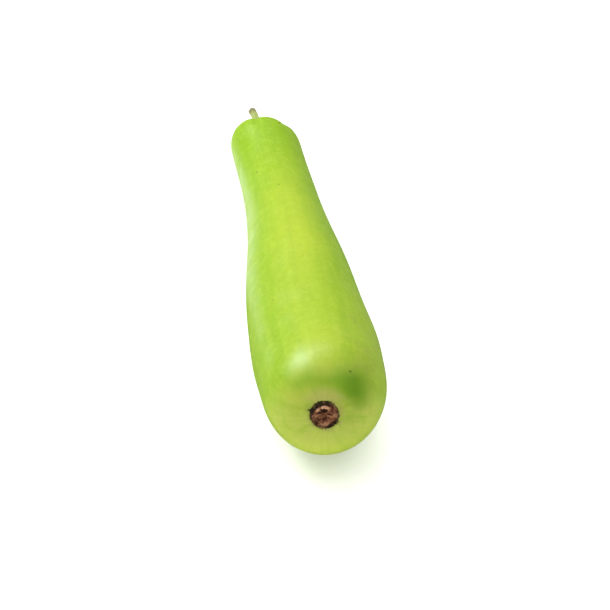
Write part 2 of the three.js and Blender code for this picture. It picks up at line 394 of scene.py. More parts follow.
# %% The stem's rings
stem_share = np.linspace(0, 1, STEM_ROWS)
stem_knots = (stem_start, stem_straight, stem_before_tip, STEM_TIP)
stem_centre, stem_along, stem_length = along_curve(stem_knots, stem_share)
stem_side = unit(np.cross(stem_along, end_up))
stem_up = np.cross(stem_side, stem_along)
stem_turns = np.linspace(0, 2 * np.pi, STEM_POINTS_ROUND, endpoint=False)
T, B = np.meshgrid(stem_share, stem_turns, indexing="ij")

narrowed = smooth_step(T, *STEM_NARROWS)
widened = smooth_step(T, *STEM_FLARES)
stem_plain = (
    STEM_RADIUS["waist"]
    + (STEM_RADIUS["root"] - STEM_RADIUS["waist"]) * (1 - narrowed)
    + (STEM_RADIUS["tip"] - STEM_RADIUS["waist"]) * widened
)
ridge_phase = STEM_RIDGES["count"] * (B + STEM_RIDGES["twist"] * T)

ridges = STEM_RIDGES["height"] * np.cos(ridge_phase) + uneven(STEM_LUMPS, T, B, seed=31)
fibres = uneven(STEM_FIBRES, T, B, seed=37)
cut_edge = 1 - CUT_ROUNDING["share"] * smooth_step(T, CUT_ROUNDING["from"], 1.0) ** 2
stem_radius = stem_plain * (1 + ridges + fibres) * cut_edge
stem_rings = (
    stem_centre[:, None]
    + (stem_radius * np.cos(B))[..., None] * stem_side[:, None]
    + (stem_radius * np.sin(B))[..., None] * stem_up[:, None]
)
print("the stem is", round(float(stem_length), 1), "mm long")

# %% The cut end, a shallow cup of dried fibres
CUP_RINGS = 14
CUP_DEPTH = 0.7
CUP_FIBRES = {"height": 0.16, "waves_in_middle": 0.66, "more_at_edge": 6.6}
cup_share = np.linspace(0.94, 0.06, CUP_RINGS)[:, None]
cup_spokes = stem_rings[-1] - STEM_TIP
fibre_waves = CUP_FIBRES["waves_in_middle"] + CUP_FIBRES["more_at_edge"] * cup_share
cup_noise = noise_round(stem_turns, 0, fibre_waves, seed=41)
cup_drop = CUP_DEPTH * (1 - cup_share**2) + CUP_FIBRES["height"] * cup_noise
cup_rings = STEM_TIP + cup_spokes[None] * cup_share[..., None] - cup_drop[..., None] * stem_along[-1]
stem = mesh_from_rings(
    "gourd_stem",
    stem_start + shift,
    np.concatenate([stem_rings, cup_rings]) + shift,
    STEM_TIP - stem_along[-1] * CUP_DEPTH + shift,
)
paint(stem, "unrolled", unrolled(np.concatenate([stem_share, np.ones(CUP_RINGS)]), stem_turns))
inside_cut = np.concatenate([np.zeros(STEM_ROWS), 1 - cup_share[:, 0]])
paint_rings(stem, "inside_cut", 0.0, [np.repeat(inside_cut, STEM_POINTS_ROUND)], 1.0)
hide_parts("stem")
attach(stem, "root")

# %% [markdown]
# ## The blossom scar
# When the dead flower drops, it leaves a disc of cork. It is dished, with a raised ring, folds
# that run inwards and a pit where the flower's centre sat, which the material paints dark as
# shade. A flat disc with a picture of a scar would look wrong from the side, so the relief is
# real and only the finest grain is left to the material.

# %% Measures of the scar, in millimetres
SCAR_POINTS_ROUND = 150
SCAR_ROWS = 46
SCAR_GAP = 0.35
SCAR_EDGE = {"height": 0.25, "waves": 4}
SCAR_RIM_DEPTH = 0.8
SCAR_LEAST_THICKNESS = 0.5
SCAR_FLOOR_GAP = 0.2
SCAR_RING = {"radius": 5.2, "width": 1.3, "height": 1.7, "upper_excess": 0.3}
RING_SWAY = {"height": 0.8, "waves": 1.7}
RING_BREAKS = {"height": 0.45, "waves": 3}
SCAR_HOLLOW = {"above": 2.0, "width": 1.7, "depth": 1.4, "breadth": 1.7}
FOLDS = {"height": 0.55, "length": 5.0, "waves": 3.1}
FOLDS_START = (0.8, 3.0)
GRAIN = {"height": 0.3, "waves": 1.1}
FINE_GRAIN = {"height": 0.14, "waves": 3.1}
SLIT_ANGLE = -0.95
SLIT_WIDTH = 0.5

# %% Relief of the scar
scar_turns = np.linspace(0, 2 * np.pi, SCAR_POINTS_ROUND, endpoint=False)
scar_share = np.linspace(0.02, 1, SCAR_ROWS)
Q, C = np.meshgrid(scar_share, scar_turns, indexing="ij")
edge_waver = SCAR_EDGE["height"] * noise_round(C, 0, SCAR_EDGE["waves"], seed=3)
R = Q * (SCAR_RECESS["radius"] - SCAR_GAP + edge_waver)
ring_place = SCAR_RING["radius"] + RING_SWAY["height"] * noise_round(C, 0, RING_SWAY["waves"], seed=5)
ring_crest = bell(R - ring_place, SCAR_RING["width"]) * (1 + SCAR_RING["upper_excess"] * np.sin(C))
ring_crest = ring_crest * (1 + RING_BREAKS["height"] * noise_round(C, 0, RING_BREAKS["waves"], seed=9))
folds = noise_round(C, R / FOLDS["length"], FOLDS["waves"], seed=13) * smooth_step(R, *FOLDS_START)
grain = noise_round(C, 0, R * GRAIN["waves"], seed=17)
fine_grain = noise_round(C, 0, R * FINE_GRAIN["waves"], seed=19)
hollow_aside = R * np.cos(C) / SCAR_HOLLOW["breadth"]
hollow = bell(np.hypot(hollow_aside, R * np.sin(C) - SCAR_HOLLOW["above"]), SCAR_HOLLOW["width"])
scar_height = (
    -SCAR_RIM_DEPTH
    + SCAR_RING["height"] * ring_crest
    - SCAR_HOLLOW["depth"] * hollow
    + FOLDS["height"] * folds
    + GRAIN["height"] * grain
    + FINE_GRAIN["height"] * fine_grain
)
scar_height = np.maximum(scar_height, SCAR_LEAST_THICKNESS - SCAR_RECESS["depth"])
print("scar relief from", scar_height.min().round(2), "to", scar_height.max().round(2), "mm")

# %% The scar's mesh
scar_floor = SCAR_FLOOR_GAP - SCAR_RECESS["depth"]
scar_face = disc_point(tip_place, R, C, scar_height)
scar_back = disc_point(tip_place, R[-1], scar_turns, scar_floor)
scar = mesh_from_rings(
    "scar_cork",
    tip_place[0] + tip_place[1] * scar_height[0].mean(),
    np.concatenate([scar_face, scar_back[None]]),
    tip_place[0] + tip_place[1] * scar_floor,
)
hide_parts("blossom_scar")
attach(scar, "root")

# %% What the scar's material reads
# Crests are pale cork with a painted highlight on their upper side, and the dark edge has painted shade
# over the top and is darkest at the slit
CREST_LIGHT = {"turned": 0.15, "from": 0.35, "to": 0.95, "least": 0.22, "folds": 0.25}
CREST_LIGHT_FOLDS_RADII = (2, 5)
EDGE = {"everywhere": 0.91, "top": 0.45, "slit": 0.2}
TOP_TURNED = 0.5
TOP_REACH = 0.9
PIT_IN_MIDDLE = 0.5

upper = smooth_step(np.sin(C - CREST_LIGHT["turned"]), CREST_LIGHT["from"], CREST_LIGHT["to"])
pale_and_lit_crest = ring_crest * (CREST_LIGHT["least"] + (1 - CREST_LIGHT["least"]) * upper)
pale_and_lit_crest = pale_and_lit_crest + CREST_LIGHT["folds"] * folds * smooth_step(R, *CREST_LIGHT_FOLDS_RADII)
shaded_top = smooth_step(np.sin(C - TOP_TURNED), 0.0, TOP_REACH)
by_slit = bell(turn_between(C, SLIT_ANGLE), SLIT_WIDTH)
edge_value = Q * (EDGE["everywhere"] + EDGE["top"] * shaded_top + EDGE["slit"] * by_slit)
no_value = np.zeros(SCAR_POINTS_ROUND)
paint_rings(scar, "crest_and_highlight", 0.0, [pale_and_lit_crest, no_value], 0.0)
paint_rings(scar, "pit", PIT_IN_MIDDLE, [hollow, no_value], 0.0)
paint_rings(scar, "fold", 0.0, [folds + 0.5 * grain, no_value], 0.0)
paint_rings(scar, "edge", 0.0, [edge_value, no_value + 1], 1.0)
print("edge values up to", edge_value.max().round(2))

# %% [markdown]
# ## The dry collar round the scar
# The base of the flower tears off unevenly, so the scar has a dark ragged edge with dry tatters
# that curl over the skin. They are thin, so each one is a small tapered strip with a real
# thickness, bent outwards. A seeded draw gives them different lengths, and a few long ones
# stand where the photograph shows them.

# %% Tapered strips
COLLAR_SEED = 12
TATTER_STEPS = 6
TATTER_CORNERS = 8
TATTER = {"inside": 0.9, "sunk": 0.3, "bent_at_root": 0.25, "bluntness": 1.6, "least_half": 0.05}
TATTER_THICKNESS = {"root": 0.16, "thinning": 0.6, "crown": 0.12}
draw = random.Random(COLLAR_SEED)


def tatter(root_angle, length, width, lift, curl, lean):
    """One torn strip, as the rings of a thin pointed tongue."""
    rows = []
    for step in range(TATTER_STEPS + 1):
        t = step / TATTER_STEPS
        reach = SCAR_RECESS["radius"] - TATTER["inside"] + length * t
        bend = math.pi * min(1.0, TATTER["bent_at_root"] + curl * t)
        height = lift * math.sin(bend) - TATTER["sunk"]
        middle_angle = root_angle + lean * t * t
        half = 0.5 * width * (1 - t ** TATTER["bluntness"]) + TATTER["least_half"]
        thick = TATTER_THICKNESS["root"] * (1 - TATTER_THICKNESS["thinning"] * t)
        ring = []
        for corner in range(TATTER_CORNERS):
            turn = 2 * math.pi * corner / TATTER_CORNERS
            across = math.cos(turn)
            outward = height + thick * math.sin(turn) - TATTER_THICKNESS["crown"] * across**2
            ring.append(disc_point(tip_place, reach, middle_angle + half * across / reach, outward))
        rows.append(ring)
    return np.array(rows)


# %% The torn rim that the strips grow from
RIM_POINTS_ROUND = 180
RIM_SECTION = 10
RIM_OUT = {"past_recess": 0.35, "tears": 0.65, "waves": 5, "slit": 0.3}
RIM_BREADTH = {"least": 0.35, "above": 2.9, "slit": 1.5}
RIM_ABOVE = {"turned": 0.35, "from": 0.1, "to": 0.95}
RIM_IN = {"tears": 0.7, "waves": 6.5}
RIM_TOP = {"height": 0.1, "tears": 0.3, "waves": 8.5}
RIM_DEPTH = 0.62

rim_turns = np.linspace(0, 2 * np.pi, RIM_POINTS_ROUND, endpoint=False)
at_slit = bell(turn_between(rim_turns, SLIT_ANGLE), SLIT_WIDTH)
above = smooth_step(np.sin(rim_turns - RIM_ABOVE["turned"]), RIM_ABOVE["from"], RIM_ABOVE["to"])


def torn(kind, seed):
    return kind["tears"] * noise_round(rim_turns, 0, kind["waves"], seed)


rim_out = SCAR_RECESS["radius"] + RIM_OUT["past_recess"] + torn(RIM_OUT, seed=43)
rim_out = rim_out + RIM_OUT["slit"] * at_slit
rim_breadth = RIM_BREADTH["least"] + RIM_BREADTH["above"] * above + RIM_BREADTH["slit"] * at_slit
rim_in = SCAR_RECESS["radius"] - rim_breadth + torn(RIM_IN, seed=47)
rim_top = RIM_TOP["height"] + torn(RIM_TOP, seed=53)
rim_middle = (rim_out + rim_in) / 2
rim_half = (rim_out - rim_in) / 2
rim_rows = []
for corner in range(RIM_SECTION):
    turn = 2 * math.pi * corner / RIM_SECTION
    height = (RIM_DEPTH + rim_top) * math.sin(turn) - RIM_DEPTH
    rim_rows.append(disc_point(tip_place, rim_middle + rim_half * math.cos(turn), rim_turns, height))
print("the rim is", rim_breadth.min().round(1), "to", rim_breadth.max().round(1), "mm broad")


def hoop_mesh(name, grid):
    """A closed hoop from a grid (round its section, round the hoop, 3)."""
    rows, count = grid.shape[:2]
    i, k = np.meshgrid(np.arange(rows), np.arange(count), indexing="ij")
    row = i * count
    row_next = (i + 1) % rows * count
    k_next = (k + 1) % count
    faces = np.stack([row + k, row + k_next, row_next + k_next, row_next + k], axis=-1)
    return new_piece(name, grid.reshape(-1, 3), faces.reshape(-1, 4).tolist())


# %% The whole collar
# Angle, length and width of each long strip, then the lift, curl and lean that they share
LONG_TATTERS = [(2.82, 3.2, 1.5), (-0.55, 3.0, 0.9), (-0.72, 2.3, 1.1), (-1.75, 2.2, 1.0), (1.05, 1.9, 1.4)]
LONG_BEND = (0.55, 0.55, 0.1)
TRAILING_TATTER = (-1.2, 1.9, 1.1, 0.7, 0.5, 0.75)
SHORT_TATTERS = 30
SHORT_SHIFT = 0.35
# Least and most length, width, lift, curl and lean of the short strips
SHORT_RANGES = [(0.8, 1.9), (0.7, 1.5), (0.25, 0.6), (0.35, 0.7), (-0.12, 0.12)]

shapes = [(*shape, *LONG_BEND) for shape in LONG_TATTERS] + [TRAILING_TATTER]
for count in range(SHORT_TATTERS):
    angle = 2 * math.pi * (count + draw.uniform(-SHORT_SHIFT, SHORT_SHIFT)) / SHORT_TATTERS
    shapes.append((angle, *[draw.uniform(least, most) for least, most in SHORT_RANGES]))
collar_parts = [hoop_mesh("collar_rim", np.array(rim_rows))]
for index, shape in enumerate(shapes):
    rows = tatter(*shape)
    root = rows[0].mean(axis=0)
    tip = rows[-1].mean(axis=0)
    collar_parts.append(mesh_from_rings(f"tatter_{index:02d}", root, rows, tip))


def join_pieces(name, parts):
    """One object made of several closed parts."""
    bpy.ops.object.select_all(action="DESELECT")
    for part in parts:
        part.select_set(True)
    bpy.context.view_layer.objects.active = parts[0]
    bpy.ops.object.join()
    parts[0].name = name
    parts[0].data.name = name
    return parts[0]


collar = join_pieces("scar_dry_collar", collar_parts)
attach(collar, "root")
print("the collar has", len(shapes), "tatters")

# %% Where the collar is darkest: dark torn tissue, with painted shade over the top left
DARKEST_ANGLE = 2.2
DARKEST_WIDTH = 1.2

collar_places = np.array([point.co[:] for point in collar.data.vertices]) / MM - tip_place[0]
collar_angle = np.arctan2(collar_places @ tip_up, collar_places @ tip_side)
in_slit = bell(turn_between(collar_angle, SLIT_ANGLE), SLIT_WIDTH)
in_top_left = bell(turn_between(collar_angle, DARKEST_ANGLE), DARKEST_WIDTH)
# The values run up to 1, where the collar is nearly black, and are under 0 where it is olive. The dark top
# left is painted shade of the recess
dark_tissue_and_shade = np.maximum(2 * in_top_left - 1, 1.6 * in_slit - 0.6)
paint(collar, "dark_and_shaded", dark_tissue_and_shade)
print("share of the collar that is dark:", (dark_tissue_and_shade > 0).mean().round(2))

# %% [markdown]
# ## Shared shader effects
# Several materials need the same two things: a soft patchy mask and a fine grain that catches
# the light. Copying their nodes into each material would work, but a change would then have to
# be made four times. So each is built once as a node group with named inputs, and each material
# gives it its own scale and limits. The groups put out masks and heights only. The shader
# itself stays in the material.

# %% Helpers for node trees


def add(tree, kind, **settings):
    made = tree.nodes.new(kind)
    for name, value in settings.items():
        setattr(made, name, value)
    return made


def join(tree, source, target):
    tree.links.new(source, target)


def math_node(tree, operation, first, second=None):
    """One sum on values or the outputs of other nodes."""
    made = add(tree, "ShaderNodeMath", operation=operation)
    for socket, value in zip(made.inputs, (first, second)):
        if isinstance(value, (int, float)):
            socket.default_value = value
        elif value is not None:
            join(tree, value, socket)
    return made.outputs[0]


def range_node(tree, value, low, high, to_low, to_high):
    """A value moved smoothly from one range to another, and kept inside it."""
    made = add(tree, "ShaderNodeMapRange", interpolation_type="SMOOTHSTEP")
    join(tree, value, made.inputs["Value"])
    for name, number in (("From Min", low), ("From Max", high), ("To Min", to_low), ("To Max", to_high)):
        made.inputs[name].default_value = number
    return made.outputs["Result"]


def times(tree, first, *others):
    """The product of two or more values."""
    for other in others:
        first = math_node(tree, "MULTIPLY", first, other)
    return first


def rising(tree, value, start, end, top=1.0):
    """0 up to the start, and the top from the end on."""
    return range_node(tree, value, start, end, 0.0, top)


def falling(tree, value, start, end):
    """1 up to the start, and 0 from the end on."""
    return range_node(tree, value, start, end, 1.0, 0.0)


def mix_colours(tree, share, first, second):
    """The first colour where the share is 0, the second where it is 1."""
    made = add(tree, "ShaderNodeMix", data_type="RGBA")
    for name, value in (("Factor", share), ("A", first), ("B", second)):
        socket = next(s for s in made.inputs if s.name == name and s.enabled)
        if isinstance(value, (tuple, float)):
            socket.default_value = value if isinstance(value, float) else (*value, 1.0)
        else:
            join(tree, value, socket)
    return next(s for s in made.outputs if s.enabled)


def tint(tree, colour, mask, share, over):
    """Lay a colour over another, where the mask is on and by a share of its strength."""
    return mix_colours(tree, times(tree, mask, share), colour, over)


def new_group(name, inputs, outputs):
    """An empty shader group with its named sockets."""
    group = bpy.data.node_groups.new(name, "ShaderNodeTree")
    for label, default in inputs:
        kind = "NodeSocketVector" if default is None else "NodeSocketFloat"
        socket = group.interface.new_socket(name=label, in_out="INPUT", socket_type=kind)
        if default is not None:
            socket.default_value = default
    for label in outputs:
        group.interface.new_socket(name=label, in_out="OUTPUT", socket_type="NodeSocketFloat")
    return group, add(group, "NodeGroupInput"), add(group, "NodeGroupOutput")


def place_group(tree, group, **values):
    """A group in a material, with a value or a link for each of its inputs."""
    made = add(tree, "ShaderNodeGroup", node_tree=group)
    for name, value in values.items():
        socket = made.inputs[name.replace("_", " ").capitalize()]
        if isinstance(value, (int, float)):
            socket.default_value = value
        else:
            join(tree, value, socket)
    return made


# %% A patchy mask
patches, patches_in, patches_out = new_group(
    "patches",
    [("Place", None), ("Scale", 10.0), ("Roughening", 0.5), ("Low", 0.4), ("High", 0.6)],
    ["Mask"],
)
patch_noise = add(patches, "ShaderNodeTexNoise", noise_dimensions="3D")
patch_noise.inputs["Detail"].default_value = 3.0
join(patches, patches_in.outputs["Place"], patch_noise.inputs["Vector"])
join(patches, patches_in.outputs["Scale"], patch_noise.inputs["Scale"])
join(patches, patches_in.outputs["Roughening"], patch_noise.inputs["Roughness"])
patch_range = add(patches, "ShaderNodeMapRange", interpolation_type="SMOOTHSTEP")
join(patches, patch_noise.outputs["Fac"], patch_range.inputs["Value"])
join(patches, patches_in.outputs["Low"], patch_range.inputs["From Min"])
join(patches, patches_in.outputs["High"], patch_range.inputs["From Max"])
join(patches, patch_range.outputs["Result"], patches_out.inputs["Mask"])


def patch_mask(tree, place, scale, roughening, low, high):
    """Patches in a material: 0 where the noise is under low, 1 where it is over high."""
    made = place_group(tree, patches, place=place, scale=scale, roughening=roughening, low=low, high=high)
    return made.outputs["Mask"]


# %% A fine grain
grain_group, grain_in, grain_out = new_group(
    "fine_grain", [("Place", None), ("Scale", 100.0), ("Pits", 0.5)], ["Height"])
grain_noise = add(grain_group, "ShaderNodeTexNoise", noise_dimensions="3D")
grain_noise.inputs["Detail"].default_value = 4.0
grain_cells = add(grain_group, "ShaderNodeTexVoronoi", feature="F1")
for target in (grain_noise, grain_cells):
    join(grain_group, grain_in.outputs["Place"], target.inputs["Vector"])
    join(grain_group, grain_in.outputs["Scale"], target.inputs["Scale"])
grain_pit = rising(grain_group, grain_cells.outputs["Distance"], 0.0, 0.55)
grain_pit = times(grain_group, grain_pit, grain_in.outputs["Pits"])
grain_sum = math_node(grain_group, "ADD", grain_noise.outputs["Fac"], grain_pit)
join(grain_group, grain_sum, grain_out.inputs["Height"])
print("shared effects:", patches.name, grain_group.name)

# %% [markdown]
# ## Materials
# The skin is a bright yellow-green with a satin shine. It is paler on top and lime along the sides,
# partly its own colour and partly painted shade and a painted green reflection on the sides, lime
# along the neck and yellow round the scar, with a deep green shoulder over the scar that is partly
# painted shade. The colours are laid one over another: first the drift and the lime sides, then
# the long bands and the fine mottling, then the zones that belong to one place, among them painted
# shade in the creases and the dimple, and last a few dark specks. A picture would stretch over the
# two ends, so each layer is noise or a place on the skin instead.

# %% A new material with its shader


def new_material(name, roughness, specular=0.5):
    material = bpy.data.materials.new(name)
    material.use_nodes = True
    tree = material.node_tree
    shader = tree.nodes["Principled BSDF"]
    shader.inputs["Roughness"].default_value = roughness
    shader.inputs["Specular IOR Level"].default_value = specular
    return material, tree, shader


def read_layer(tree, name):
    return add(tree, "ShaderNodeAttribute", attribute_type="GEOMETRY", attribute_name=name)


def scaled(tree, vector, factors):
    made = add(tree, "ShaderNodeMapping", vector_type="POINT")
    join(tree, vector, made.inputs["Vector"])
    made.inputs["Scale"].default_value = factors
    return made.outputs["Vector"]


def bump(tree, shader, height, strength, distance_mm):
    made = add(tree, "ShaderNodeBump")
    made.inputs["Strength"].default_value = strength
    made.inputs["Distance"].default_value = distance_mm * MM
    join(tree, height, made.inputs["Height"])
    join(tree, made.outputs["Normal"], shader.inputs["Normal"])
    return made


# %% Skin colours, from large drifts to specks
LIME = (0.30, 0.54, 0.010)
PALE_GREEN = (0.49, 0.65, 0.035)
YELLOW_GREEN = (0.63, 0.70, 0.10)
DEEP_GREEN_AND_SHADE = (0.18, 0.39, 0.008)
MID_GREEN = (0.24, 0.49, 0.01)
PALE_SPOT = (0.57, 0.73, 0.07)
SPECK = (0.10, 0.12, 0.015)
DIMPLE_SHADE_GREEN = (0.20, 0.27, 0.02)
TAN = (0.42, 0.38, 0.12)
BEIGE = (0.66, 0.62, 0.18)

skin_material, tree, shader = new_material("gourd_skin", roughness=0.38, specular=0.4)
spot = add(tree, "ShaderNodeTexCoord").outputs["Object"]
layer = read_layer(tree, "unrolled")
parts = add(tree, "ShaderNodeSeparateXYZ")
join(tree, layer.outputs["Vector"], parts.inputs["Vector"])
length_place = parts.outputs["Z"]
axis_place = read_layer(tree, "from_axis").outputs["Fac"]

drift = patch_mask(tree, spot, scale=9.0, roughening=0.5, low=0.35, high=0.65)
toward_neck = rising(tree, length_place, 2.6, 3.9, top=0.65)
lime_share = math_node(tree, "ADD", times(tree, drift, 0.45), toward_neck)
colour = mix_colours(tree, lime_share, PALE_GREEN, LIME)

# %% Sides that are more lime than the top, partly the skin's own colour and partly painted shade and a painted green reflection
right_share = parts.outputs["X"]
up_share = parts.outputs["Y"]
to_a_side = math_node(tree, "ABSOLUTE", right_share)
wavering = patch_mask(tree, spot, scale=22.0, roughening=0.6, low=0.2, high=0.8)
to_a_side = math_node(tree, "ADD", to_a_side, times(tree, wavering, 0.3))
near_blossom = falling(tree, length_place, 0.6, 1.7)
yellow_side = times(tree, rising(tree, right_share, 0.1, 0.8), near_blossom)
not_yellow = math_node(tree, "SUBTRACT", 1.0, times(tree, yellow_side, 0.65))
# Lime on the sides: partly the skin's own colour, partly painted shade and a painted green reflection
lime_side_and_shade = times(tree, rising(tree, to_a_side, 0.25, 0.95, top=0.85), not_yellow)
colour = mix_colours(tree, lime_side_and_shade, colour, LIME)
rubbed_skin = patch_mask(tree, spot, scale=34.0, roughening=0.7, low=0.42, high=0.7)
colour = tint(tree, colour, times(tree, rubbed_skin, yellow_side), 0.3, TAN)

# %% Long bands
band_place = scaled(tree, layer.outputs["Vector"], (2.6, 2.6, 0.3))
bands = patch_mask(tree, band_place, scale=1.6, roughening=0.45, low=0.35, high=0.75)
colour = tint(tree, colour, bands, 0.18, DEEP_GREEN_AND_SHADE)
streak_place = scaled(tree, layer.outputs["Vector"], (9.0, 9.0, 0.8))
streaks = patch_mask(tree, streak_place, scale=1.5, roughening=0.6, low=0.4, high=0.8)
colour = tint(tree, colour, streaks, 0.2, PALE_SPOT)

# %% Mottling
mottle = patch_mask(tree, spot, scale=160.0, roughening=0.65, low=0.46, high=0.7)
colour = tint(tree, colour, mottle, 0.26, PALE_SPOT)
flecks = patch_mask(tree, spot, scale=420.0, roughening=0.7, low=0.5, high=0.72)
colour = tint(tree, colour, flecks, 0.32, PALE_SPOT)
shade_flecks = patch_mask(tree, spot, scale=230.0, roughening=0.7, low=0.54, high=0.74)
colour = tint(tree, colour, shade_flecks, 0.22, DEEP_GREEN_AND_SHADE)

# %% The pale zone round the scar, with its rays
at_blossom_end = math_node(tree, "LESS_THAN", length_place, 1.0)
above_axis = range_node(tree, up_share, -0.3, 0.6, to_low=1.0, to_high=3.0)
near_scar = falling(tree, times(tree, length_place, above_axis), 0.04, 0.5)
ray_place = scaled(tree, layer.outputs["Vector"], (5.0, 5.0, 3.0))
rays = patch_mask(tree, ray_place, scale=1.4, roughening=0.75, low=0.42, high=0.7)
colour = tint(tree, colour, near_scar, 0.75, YELLOW_GREEN)
colour = tint(tree, colour, times(tree, rays, near_scar), 0.25, LIME)
blotches = patch_mask(tree, spot, scale=55.0, roughening=0.65, low=0.48, high=0.72)
colour = tint(tree, colour, times(tree, blotches, near_scar), 0.5, LIME)
by_lip = times(tree, falling(tree, axis_place, 0.95, 1.5), at_blossom_end)
lip_patches = patch_mask(tree, spot, scale=150.0, roughening=0.6, low=0.35, high=0.65)
lip_share = math_node(tree, "ADD", times(tree, lip_patches, 0.4), 0.15)
by_lip = times(tree, by_lip, lip_share)
colour = mix_colours(tree, by_lip, colour, TAN)

# %% The deep green shoulder over the scar, partly the skin's own colour and partly painted shade
face_right = times(tree, axis_place, right_share)
face_up = times(tree, axis_place, up_share)
shoulder_noise = patch_mask(tree, spot, scale=70.0, roughening=0.6, low=0.25, high=0.75)
shoulder_height = range_node(tree, face_right, 0.4, 2.6, to_low=2.2, to_high=1.5)
left_droop = rising(tree, face_right, -0.7, -2.2, top=0.4)
shoulder_height = math_node(tree, "SUBTRACT", shoulder_height, left_droop)
over_middle = math_node(tree, "ABSOLUTE", math_node(tree, "SUBTRACT", face_up, shoulder_height))
over_middle = math_node(tree, "SUBTRACT", over_middle, rising(tree, face_right, 0.2, 2.0, top=0.62))
over_middle = math_node(tree, "ADD", over_middle, times(tree, shoulder_noise, 0.22))
green_shoulder_and_shade = falling(tree, over_middle, -0.25, 1.15)
left_end = rising(tree, face_right, -2.9, -1.5)
right_end = falling(tree, face_right, 1.9, 3.7)
right_lobe = range_node(tree, face_right, 0.3, 2.1, to_low=0.85, to_high=0.95)
short_of_belly = falling(tree, axis_place, 2.9, 4.25)
green_shoulder_and_shade = times(tree, green_shoulder_and_shade, left_end, right_end, right_lobe, short_of_belly, at_blossom_end)
# A deeper green over the scar's shoulder, partly real colour and partly painted shade
shoulder_and_shade_green = mix_colours(tree, rising(tree, face_right, 0.6, 2.0), MID_GREEN, DEEP_GREEN_AND_SHADE)
colour = mix_colours(tree, green_shoulder_and_shade, colour, shoulder_and_shade_green)
close_to_scar = falling(tree, axis_place, 1.3, 2.0)
above_scar = times(tree, rising(tree, face_up, 0.6, 1.2, top=0.55), close_to_scar, at_blossom_end)
colour = mix_colours(tree, above_scar, colour, BEIGE)

# %% Painted shade in the creases and in the dimple round the stem, and the specks
at_stem_end = math_node(tree, "GREATER_THAN", length_place, 3.0)
# Painted shade: the creases and the dimple are laid darker green
painted_crease_shade = rising(tree, read_layer(tree, "crease").outputs["Fac"], 0.2, 0.95, top=0.8)
colour = mix_colours(tree, painted_crease_shade, colour, DEEP_GREEN_AND_SHADE)
painted_dimple_shade = times(tree, falling(tree, axis_place, 0.7, 1.5), at_stem_end)
colour = tint(tree, colour, painted_dimple_shade, 0.7, DIMPLE_SHADE_GREEN)
speck_cells = add(tree, "ShaderNodeTexVoronoi", feature="F1")
join(tree, spot, speck_cells.inputs["Vector"])
speck_cells.inputs["Scale"].default_value = 80.0
speck_size = add(tree, "ShaderNodeSeparateColor")
join(tree, speck_cells.outputs["Color"], speck_size.inputs["Color"])
speck_reach = rising(tree, speck_size.outputs["Red"], 0.45, 1.0, top=0.075)
speck_on = math_node(tree, "LESS_THAN", speck_cells.outputs["Distance"], speck_reach)
colour = tint(tree, colour, speck_on, 0.75, SPECK)
join(tree, colour, shader.inputs["Base Color"])
print("the skin's colour is made of", len(tree.nodes), "nodes")

# %% The skin's shine and finest relief
sheen_patches = patch_mask(tree, spot, scale=60.0, roughening=0.6, low=0.35, high=0.7)
shine = range_node(tree, sheen_patches, 0.0, 1.0, to_low=0.32, to_high=0.42)
join(tree, shine, shader.inputs["Roughness"])
skin_grain = place_group(tree, grain_group, place=spot, scale=900.0, pits=0.3).outputs[0]
bump(tree, shader, skin_grain, 0.12, 0.25)
shader.inputs["Subsurface Weight"].default_value = 0.12
shader.inputs["Subsurface Radius"].default_value = (0.6, 1.0, 0.2)
shader.inputs["Subsurface Scale"].default_value = 0.004
skin.data.materials.append(skin_material)
print(skin.name, "wears", skin_material.name)

# %% [markdown]
# ## Stem, scar and collar finishes
# The stem is dull and fibrous, pale green with brown at the cut. The scar and the collar are
# dead tissue: pinkish brown, paler on the crests with a painted highlight on their upper side, and
# nearly black at the torn edge, with painted shade in the pits, the deep folds and over the top of
# the edge. Noise alone would put pale and dark anywhere, so these colours read the values stored
# with the relief, and each fold is painted dark as shade where it is really deep.

# %% Stem material
STEM_GREEN = (0.46, 0.53, 0.16)
STEM_DARK = (0.21, 0.27, 0.06)
STEM_CUT = (0.55, 0.50, 0.24)
STEM_DRY = (0.17, 0.13, 0.06)

stem_material, tree, shader = new_material("stem_fibre", roughness=0.62, specular=0.35)
layer = read_layer(tree, "unrolled")
parts = add(tree, "ShaderNodeSeparateXYZ")
join(tree, layer.outputs["Vector"], parts.inputs["Vector"])
spot = add(tree, "ShaderNodeTexCoord").outputs["Object"]
fibre_place = scaled(tree, layer.outputs["Vector"], (8.0, 8.0, 2.0))
fibre_mask = patch_mask(tree, fibre_place, scale=1.4, roughening=0.65, low=0.4, high=0.68)
colour = mix_colours(tree, times(tree, fibre_mask, 0.6), STEM_GREEN, STEM_DARK)
blotch = patch_mask(tree, spot, scale=260.0, roughening=0.6, low=0.55, high=0.75)
colour = tint(tree, colour, blotch, 0.5, STEM_DRY)
near_cut = rising(tree, parts.outputs["Z"], 0.74, 0.97)
colour = tint(tree, colour, near_cut, 0.8, STEM_DRY)
inside = read_layer(tree, "inside_cut").outputs["Fac"]
colour = mix_colours(tree, rising(tree, inside, 0.12, 0.3), colour, STEM_CUT)
join(tree, colour, shader.inputs["Base Color"])
stem_grain = place_group(tree, grain_group, place=spot, scale=1400.0, pits=0.5).outputs[0]
bump(tree, shader, math_node(tree, "ADD", stem_grain, fibre_mask), 0.4, 0.2)
stem.data.materials.append(stem_material)
print(stem.name, "wears", stem_material.name)

# %% Scar material
CORK = (0.37, 0.14, 0.05)
CORK_PALE = (0.76, 0.42, 0.22)
CORK_RED = (0.16, 0.04, 0.02)
CORK_DARK_AND_SHADE = (0.022, 0.009, 0.003)

